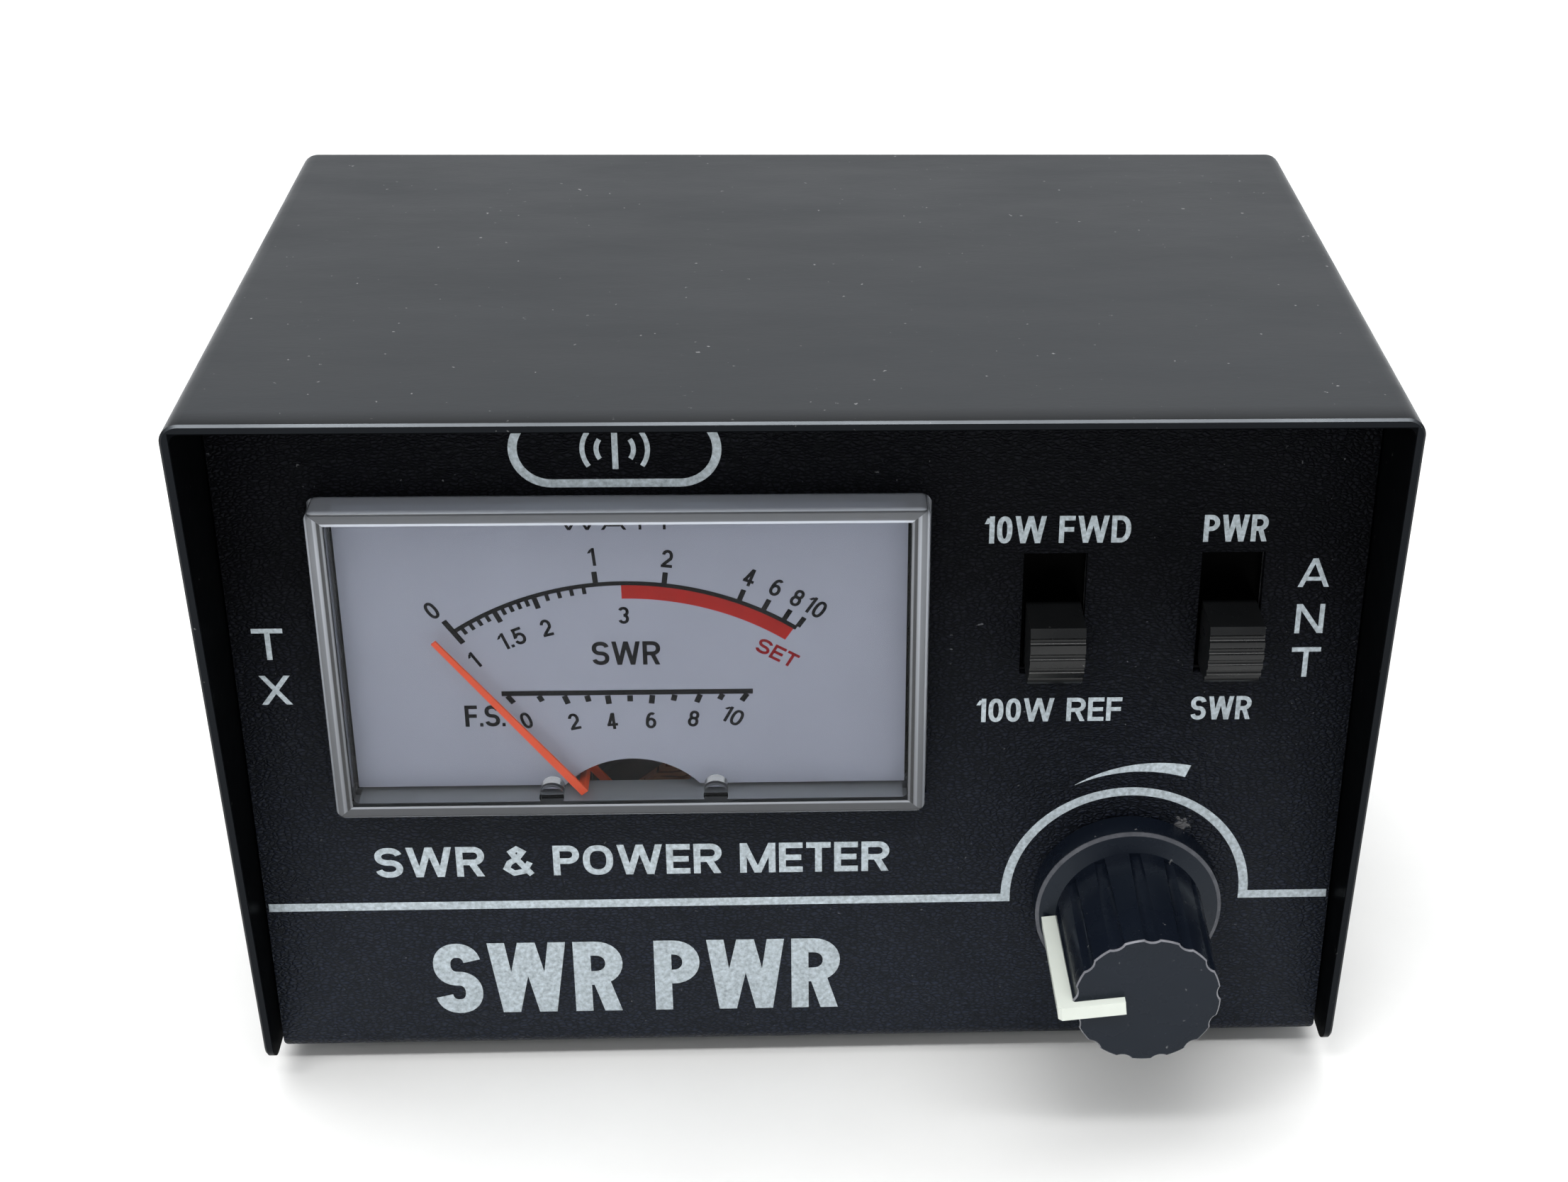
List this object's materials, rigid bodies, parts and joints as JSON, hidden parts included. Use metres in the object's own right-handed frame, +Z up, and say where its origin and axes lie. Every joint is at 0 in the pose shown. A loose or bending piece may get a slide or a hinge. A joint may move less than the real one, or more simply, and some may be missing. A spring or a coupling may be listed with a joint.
{
  "type": "SWR meter",
  "caption": "Bench SWR and power meter with a needle dial, slide switches, a level knob and coaxial sockets in a bent steel case.",
  "frame": {"origin": "centre of the footprint on the table, below the middle of the overall length", "axes": "+X to the right seen from the front, +Y from the front panel to the rear panel, +Z up"},
  "size_m": [0.1236, 0.1, 0.0852],
  "materials": {
    "cover_paint": "satin",
    "chassis_paint": "fine leather texture",
    "black_steel": "satin",
    "rubber": "matte",
    "clear_acrylic": "clear",
    "black_plastic": "matte",
    "dial_paint": "matte",
    "brass": "bright",
    "tinned": "satin",
    "soft_iron": "satin",
    "magnet": "matte",
    "bare_aluminium": "satin",
    "copper_wire": "enamelled",
    "copper": "bright",
    "bronze": "bright",
    "needle_paint": "matte",
    "zinc_steel": "satin",
    "phenolic": "matte",
    "nickel": "bright",
    "knob_plastic": "semi gloss",
    "white_plastic": "semi gloss",
    "board_laminate": "satin",
    "glass_orange": "clear",
    "resistor_coat": "matte",
    "ceramic": "matte",
    "trimmer_blue": "gloss",
    "wire_red": "satin",
    "wire_blue": "satin",
    "white_insulator": "satin"
  },
  "bodies": {
    "case": {"top_cover": "cover_paint", "chassis": "chassis_paint", "cover_screws": "black_steel", "feet": "rubber", "meter_cover": "clear_acrylic", "meter_body": "black_plastic", "dial_plate": "dial_paint", "meter_studs": "brass", "meter_lugs": "tinned", "meter_nuts": "brass", "yoke_ring": "soft_iron", "core_magnet": "magnet", "core_brackets": "brass", "front_bridge": "bare_aluminium", "rear_bridge": "bare_aluminium", "jewel_screws": "brass", "front_hairspring": "bronze", "rear_hairspring": "bronze", "switch_studs": "zinc_steel", "switch_nuts": "zinc_steel", "pot_base": "phenolic", "pot_bushing": "brass", "pot_can": "zinc_steel", "pot_track": "black_plastic", "pot_tags": "tinned", "pot_washer": "zinc_steel", "pot_nut": "nickel", "socket_screws": "nickel", "socket_nuts": "nickel", "circuit_board": "board_laminate", "line_strip": "copper", "board_posts": "brass", "board_screws": "nickel", "diodes": "glass_orange", "resistors": "resistor_coat", "capacitors": "ceramic", "trimmers": "trimmer_blue", "meter_wires": "wire_red", "control_wires": "wire_blue", "range_switch_frame": "zinc_steel", "function_switch_frame": "zinc_steel", "tx_socket_shell": "nickel", "antenna_socket_shell": "nickel", "switch_bases": "phenolic", "switch_pins": "tinned", "socket_insulators": "white_insulator", "socket_contacts": "brass"},
    "needle_assembly": {"needle": "needle_paint", "moving_coil": "copper_wire", "pivots": "soft_iron", "counterweight": "brass"},
    "knob_assembly": {"level_knob": "knob_plastic", "knob_pointer": "white_plastic", "pot_shaft": "bare_aluminium", "pot_wiper": "bronze"},
    "range_slider_assembly": {"range_switch_slider": "black_plastic", "range_switch_contacts": "bronze"},
    "function_slider_assembly": {"function_switch_slider": "black_plastic", "function_switch_contacts": "bronze"}
  },
  "joints": [
    {"name": "needle_swing", "type": "hinge", "parent": "case", "child": "needle_assembly", "pos_m": [-0.0181, -0.0296, 0.0312], "axis": [0, 1, 0], "range_deg": [0, 73.5], "stiffness_Nm_per_rad": 0.0002},
    {"name": "level_knob_turn", "type": "hinge", "parent": "case", "child": "knob_assembly", "pos_m": [0.0357, -0.0296, 0.0226], "axis": [0, -1, 0], "range_deg": [-246, 54]},
    {"name": "range_switch_slide", "type": "slide", "parent": "case", "child": "range_slider_assembly", "axis": [0, 0, 1], "range_m": [0, 0.0047]},
    {"name": "function_switch_slide", "type": "slide", "parent": "case", "child": "function_slider_assembly", "axis": [0, 0, 1], "range_m": [0, 0.0047]}
  ]
}
